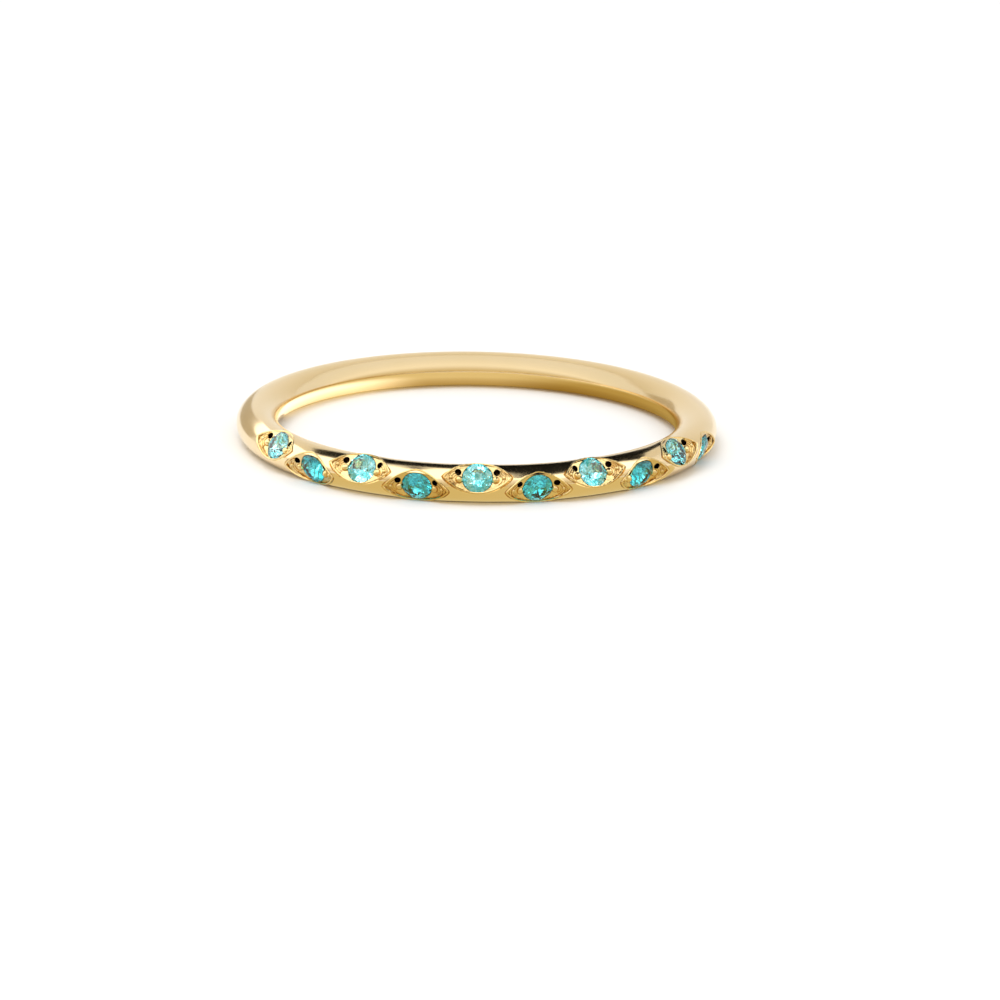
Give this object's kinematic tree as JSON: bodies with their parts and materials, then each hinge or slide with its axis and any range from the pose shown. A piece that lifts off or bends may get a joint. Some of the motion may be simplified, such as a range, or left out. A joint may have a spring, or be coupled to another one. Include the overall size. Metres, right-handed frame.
{
  "type": "stackable ring",
  "caption": "Slim round-wire gold finger ring with two staggered rows of small round cut stones set flush across its front in eye-shaped recesses.",
  "frame": {"origin": "centre of the finger hole, on the surface the ring lies on", "axes": "+Z along the finger, up out of the surface; -Y through the middle of the row of stones, at the front; +X to the right of someone who looks at the front"},
  "size_m": [0.0208, 0.0208, 0.0016],
  "materials": {
    "gold": "polished 14 carat yellow gold",
    "stone": "faceted teal gemstone"
  },
  "bodies": {
    "root": {"band": "gold", "upper_stone_1": "stone", "upper_stone_2": "stone", "upper_stone_3": "stone", "upper_stone_4": "stone", "upper_stone_5": "stone", "lower_stone_1": "stone", "lower_stone_2": "stone", "lower_stone_3": "stone", "lower_stone_4": "stone", "lower_stone_5": "stone"}
  },
  "joints": []
}
